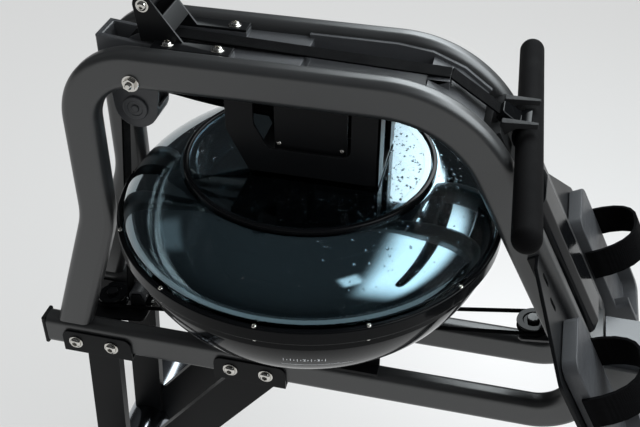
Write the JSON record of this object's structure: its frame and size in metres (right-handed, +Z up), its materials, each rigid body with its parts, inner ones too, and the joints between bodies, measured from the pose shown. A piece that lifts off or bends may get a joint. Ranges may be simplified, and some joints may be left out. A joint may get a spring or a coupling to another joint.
{
  "type": "water rowing machine",
  "caption": "Water rowing machine: a round tank hung in a black tube frame, with a strap-pulled handle, sloped footrests and a seat that rolls on a long rail.",
  "frame": {"origin": "middle of the footprint on the floor, between the left and right ends of the stabilizers and halfway along the machine", "axes": "+X from the tank towards the seat end, +Y towards the rower's right hand as the rower sits facing the tank, +Z up"},
  "size_m": [2.0704, 0.5166, 1.1493],
  "materials": {
    "powder_coat": "satin black powder coat",
    "gloss_tube": "gloss black paint",
    "gloss_shell": "gloss black moulding",
    "smoked_dome": "smoked clear plastic",
    "clear_lid": "clear plastic",
    "tank_water": "still water",
    "moulded_grey": "grained dark grey moulding",
    "black_rubber": "matt rubber",
    "webbing": "woven black webbing",
    "grip_foam": "dense black foam",
    "seat_cover": "black upholstery",
    "plated_steel": "bright plating",
    "rail_coat": "dark anodised"
  },
  "bodies": {
    "frame": {"side_frame_left": "powder_coat", "side_frame_right": "powder_coat", "front_stand_left": "powder_coat", "front_stand_right": "powder_coat", "front_stabilizer": "gloss_tube", "front_foot_cap_left": "black_rubber", "front_foot_cap_right": "black_rubber", "tank_hanger": "powder_coat", "bearing_housing": "plated_steel", "tank_bowl": "gloss_shell", "tank_dome": "smoked_dome", "rim_ring": "gloss_shell", "tank_lid": "clear_lid", "lid_gasket": "black_rubber", "water": "tank_water", "tank_cradle": "powder_coat", "pulley_housing": "gloss_shell", "pulley_axle_bolt": "plated_steel", "front_cord_bracket": "powder_coat", "rear_mount": "powder_coat", "handle_rest": "gloss_shell", "top_tray": "moulded_grey", "display_bracket": "powder_coat", "foot_cover": "gloss_shell", "foot_plate_left": "powder_coat", "foot_plate_right": "powder_coat", "seat_rail": "rail_coat", "rail_end_cap": "black_rubber", "rear_leg": "powder_coat", "rear_foot_cap_left": "black_rubber", "rear_foot_cap_right": "black_rubber", "drive_strap": "webbing", "return_strap": "webbing", "bungee_clip": "plated_steel", "bungee_cord": "webbing"},
    "handle": {"handle_bar": "grip_foam", "handle_neck": "gloss_shell", "pull_strap": "webbing"},
    "drum": {"strap_drum": "gloss_shell"},
    "impeller": {"impeller": "gloss_shell"},
    "upper_pulley": {"upper_pulley": "moulded_grey"},
    "lower_pulley": {"lower_pulley": "moulded_grey"},
    "low_roller": {"low_roller": "moulded_grey"},
    "front_cord_pulley": {"front_cord_pulley": "gloss_shell"},
    "rear_cord_pulley": {"rear_cord_pulley": "gloss_shell"},
    "fill_plug": {"fill_plug": "black_rubber"},
    "display_arm": {"display_arm": "powder_coat"},
    "console": {"console": "moulded_grey"},
    "reset_button": {"reset_button": "black_rubber"},
    "display_button": {"display_button": "black_rubber"},
    "foot_pad_left": {"foot_pad_left": "moulded_grey", "foot_strap_left": "webbing"},
    "foot_pad_right": {"foot_pad_right": "moulded_grey", "foot_strap_right": "webbing"},
    "seat": {"seat_carriage": "powder_coat", "seat_cushion": "seat_cover"},
    "seat_roller_front": {"seat_roller_front": "black_rubber"},
    "seat_roller_rear": {"seat_roller_rear": "black_rubber"},
    "transport_wheel_left": {"transport_wheel_left": "black_rubber"},
    "transport_wheel_right": {"transport_wheel_right": "black_rubber"}
  },
  "joints": [
    {"name": "handle_slide", "type": "slide", "parent": "frame", "child": "handle", "axis": [1, 0, 0], "range_m": [0, 1.15], "stiffness_N_per_m": 30, "springref_m": -1, "deforming": ["pull_strap"]},
    {"name": "drum_spin", "type": "hinge", "parent": "frame", "child": "drum", "pos_m": [-0.62515, 0, 0.79], "axis": [0, 0, 1], "continuous": true},
    {"name": "impeller_spin", "type": "hinge", "parent": "frame", "child": "impeller", "pos_m": [-0.62515, 0, 0.64], "axis": [0, 0, 1], "continuous": true},
    {"name": "upper_pulley_spin", "type": "hinge", "parent": "frame", "child": "upper_pulley", "pos_m": [-0.82915, 0, 0.844], "axis": [0, 1, 0], "continuous": true},
    {"name": "lower_pulley_spin", "type": "hinge", "parent": "frame", "child": "lower_pulley", "pos_m": [-0.85315, 0, 0.775], "axis": [0, 1, 0], "continuous": true},
    {"name": "low_roller_spin", "type": "hinge", "parent": "frame", "child": "low_roller", "pos_m": [-0.89515, 0, 0.428], "axis": [0, 1, 0], "continuous": true},
    {"name": "front_cord_pulley_spin", "type": "hinge", "parent": "frame", "child": "front_cord_pulley", "pos_m": [-0.94115, 0, 0.411], "axis": [-0.1323, 0, 0.9912], "continuous": true},
    {"name": "rear_cord_pulley_spin", "type": "hinge", "parent": "frame", "child": "rear_cord_pulley", "pos_m": [-0.30677, 0, 0.49564], "axis": [-0.1323, 0, 0.9912], "continuous": true},
    {"name": "fill_plug_lift", "type": "slide", "parent": "frame", "child": "fill_plug", "axis": [0, 0, 1], "range_m": [0, 0.04]},
    {"name": "display_arm_tilt", "type": "hinge", "parent": "frame", "child": "display_arm", "pos_m": [-0.82515, 0, 0.923], "axis": [0, 1, 0], "range_deg": [-15, 25]},
    {"name": "console_tilt", "type": "hinge", "parent": "display_arm", "child": "console", "pos_m": [-0.79084, 0, 1.08439], "axis": [0, 1, 0], "range_deg": [-20, 20]},
    {"name": "reset_button_press", "type": "slide", "parent": "console", "child": "reset_button", "axis": [-0.8829, 0, -0.4695], "range_m": [0, 0.0015], "stiffness_N_per_m": 400, "springref_m": -0.0005},
    {"name": "display_button_press", "type": "slide", "parent": "console", "child": "display_button", "axis": [-0.8829, 0, -0.4695], "range_m": [0, 0.0015], "stiffness_N_per_m": 400, "springref_m": -0.0005},
    {"name": "foot_pad_left_adjust", "type": "slide", "parent": "frame", "child": "foot_pad_left", "axis": [0.4617, 0, -0.887], "range_m": [-0.018, 0.018]},
    {"name": "foot_pad_right_adjust", "type": "slide", "parent": "frame", "child": "foot_pad_right", "axis": [0.4617, 0, -0.887], "range_m": [-0.018, 0.018]},
    {"name": "seat_slide", "type": "slide", "parent": "frame", "child": "seat", "axis": [1, 0, 0], "range_m": [-0.342, 0.468]},
    {"name": "seat_roller_front_spin", "type": "hinge", "parent": "seat", "child": "seat_roller_front", "pos_m": [0.37085, 0, 0.522], "axis": [0, 1, 0], "continuous": true},
    {"name": "seat_roller_rear_spin", "type": "hinge", "parent": "seat", "child": "seat_roller_rear", "pos_m": [0.49885, 0, 0.522], "axis": [0, 1, 0], "continuous": true},
    {"name": "transport_wheel_left_spin", "type": "hinge", "parent": "frame", "child": "transport_wheel_left", "pos_m": [-1.01315, -0.2433, 0.059], "axis": [0, 1, 0], "continuous": true},
    {"name": "transport_wheel_right_spin", "type": "hinge", "parent": "frame", "child": "transport_wheel_right", "pos_m": [-1.01315, 0.2433, 0.059], "axis": [0, 1, 0], "continuous": true}
  ],
  "couplings": [
    {"joint": "drum_spin", "follows": "handle_slide", "rad_per_m": -36.364},
    {"joint": "upper_pulley_spin", "follows": "handle_slide", "rad_per_m": 28.169},
    {"joint": "lower_pulley_spin", "follows": "handle_slide", "rad_per_m": 42.553},
    {"joint": "low_roller_spin", "follows": "handle_slide", "rad_per_m": 64.516},
    {"joint": "rear_cord_pulley_spin", "follows": "handle_slide", "rad_per_m": 27.966},
    {"joint": "front_cord_pulley_spin", "follows": "handle_slide", "rad_per_m": 13.983},
    {"joint": "seat_roller_front_spin", "follows": "seat_slide", "rad_per_m": 55.556},
    {"joint": "seat_roller_rear_spin", "follows": "seat_slide", "rad_per_m": 55.556}
  ]
}
